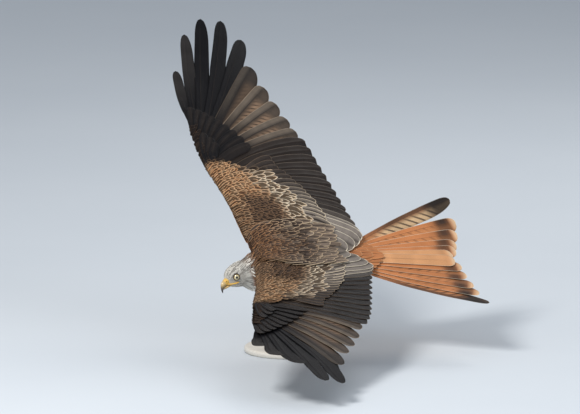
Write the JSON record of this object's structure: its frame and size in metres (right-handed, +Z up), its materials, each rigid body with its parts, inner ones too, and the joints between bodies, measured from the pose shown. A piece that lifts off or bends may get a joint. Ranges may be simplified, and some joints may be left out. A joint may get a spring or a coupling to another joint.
{
  "type": "bird of prey model on stand",
  "caption": "Life-size still model of a red kite banking in flight with spread wings and forked tail, held over a round base by one rod.",
  "frame": {"origin": "centre of the underside of the stand's round base, on the floor, with the rod's axis through it", "axes": "+Z up; the bird flies towards -X and slightly towards -Y, with its left wing low on the -Y side and its tail towards +X"},
  "size_m": [0.7163, 1.2521, 0.6806],
  "materials": {
    "pale_head": "matte feathers",
    "rufous_body": "matte feathers",
    "brown_coverts": "matte feathers",
    "dark_remiges": "satin feathers",
    "rufous_tail": "satin feathers",
    "yellow_cere": "satin skin",
    "bill_horn": "satin horn",
    "pale_iris": "glossy eye",
    "yellow_foot": "satin scales",
    "pale_base": "satin paint on wood",
    "steel_rod": "brushed"
  },
  "bodies": {
    "root": {"torso": "rufous_body", "neck": "rufous_body", "head": "pale_head", "cere": "yellow_cere", "bill_upper": "bill_horn", "bill_lower": "bill_horn", "eye_left": "pale_iris", "eye_right": "pale_iris", "wing_arm_left": "brown_coverts", "wing_arm_right": "brown_coverts", "wing_hand_left": "dark_remiges", "wing_hand_right": "dark_remiges", "tail": "rufous_tail", "thigh_left": "rufous_body", "thigh_right": "rufous_body", "foot_left": "yellow_foot", "foot_right": "yellow_foot", "claw_left_1": "bill_horn", "claw_left_2": "bill_horn", "claw_left_3": "bill_horn", "claw_left_4": "bill_horn", "claw_right_1": "bill_horn", "claw_right_2": "bill_horn", "claw_right_3": "bill_horn", "claw_right_4": "bill_horn", "stand_base": "pale_base", "stand_rod": "steel_rod"}
  },
  "joints": []
}
